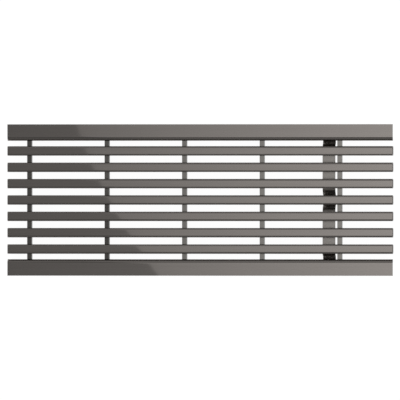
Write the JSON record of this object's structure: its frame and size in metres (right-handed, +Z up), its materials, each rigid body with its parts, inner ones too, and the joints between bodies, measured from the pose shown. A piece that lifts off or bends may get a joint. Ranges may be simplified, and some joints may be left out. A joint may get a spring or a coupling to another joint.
{
  "type": "channel drain grate",
  "caption": "Longitudinal bar grate for a drainage channel: tube bars between folded edge rails on cross bars, with a bent locking spring beneath.",
  "frame": {"origin": "centre of the grate at the foot of the rails' legs, which is the plane that it stands on", "axes": "+X along the bars, towards the end that carries the locking spring; +Y across the bars, towards the rear rail; +Z up to the walking surface"},
  "size_m": [0.5, 0.1958, 0.025],
  "materials": {
    "rail_steel": "fine ground stainless sheet, softly glossy",
    "bar_steel": "fine ground stainless tube, grain along the bar",
    "cross_bar_steel": "drawn stainless flat bar",
    "spring_steel": "cold rolled stainless spring strip",
    "weld_metal": "rippled weld bead with pale heat tint"
  },
  "bodies": {
    "root": {"rail_rear": "rail_steel", "rail_front": "rail_steel", "locking_spring": "spring_steel", "spring_welds": "weld_metal", "bar_1": "bar_steel", "bar_2": "bar_steel", "bar_3": "bar_steel", "bar_4": "bar_steel", "bar_5": "bar_steel", "bar_6": "bar_steel", "bar_7": "bar_steel", "cross_bar_1": "cross_bar_steel", "cross_bar_2": "cross_bar_steel", "cross_bar_3": "cross_bar_steel", "cross_bar_4": "cross_bar_steel", "cross_bar_5": "cross_bar_steel", "welds_1": "weld_metal", "welds_2": "weld_metal", "welds_3": "weld_metal", "welds_4": "weld_metal", "welds_5": "weld_metal"}
  },
  "joints": []
}
